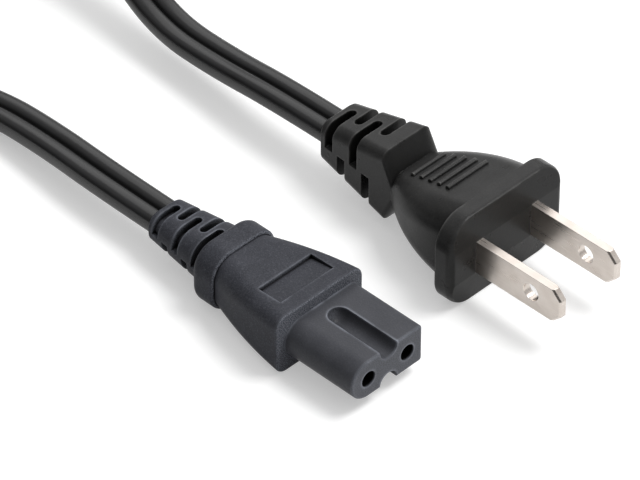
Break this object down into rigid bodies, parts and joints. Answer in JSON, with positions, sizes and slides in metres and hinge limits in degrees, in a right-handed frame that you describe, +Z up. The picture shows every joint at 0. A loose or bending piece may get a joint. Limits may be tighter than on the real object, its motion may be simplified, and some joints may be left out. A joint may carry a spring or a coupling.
{
  "type": "figure eight power connector",
  "caption": "Polarised figure-eight appliance connector moulded on a flat flexible cord that ends in a flat-blade mains plug; feeds mains power to small equipment.",
  "frame": {"origin": "Middle of the connector's footprint, on the plane that the whole lead lies on; the cord and what is on it are left out of the footprint.", "axes": "+X out of the connector's nose, +Y from its round lobe to its square lobe, +Z up."},
  "size_m": [0.3083, 0.0553, 0.0174],
  "materials": {
    "connector_pvc": "spark-eroded charcoal moulding, satin",
    "nose_plastic": "fine satin charcoal moulding",
    "contact_brass": "bare brass",
    "wire_copper": "stranded copper",
    "plug_pvc": "satin black moulding",
    "blade_nickel": "nickel-plated stamped blade, satin",
    "cord_pvc": "satin black extruded jacket",
    "tie_plastic": "black covered wire tie"
  },
  "bodies": {
    "root": {"connector_body": "connector_pvc", "connector_nose": "nose_plastic", "contact_round_side": "contact_brass", "contact_square_side": "contact_brass", "connector_wire_round_side": "wire_copper", "connector_wire_square_side": "wire_copper", "plug_body": "plug_pvc", "plug_blade_near": "blade_nickel", "plug_blade_far": "blade_nickel", "plug_wire_near": "wire_copper", "plug_wire_far": "wire_copper", "cord_connector_run": "cord_pvc", "cord_plug_run": "cord_pvc", "cord_hank": "cord_pvc", "cord_tie": "tie_plastic"}
  },
  "joints": []
}
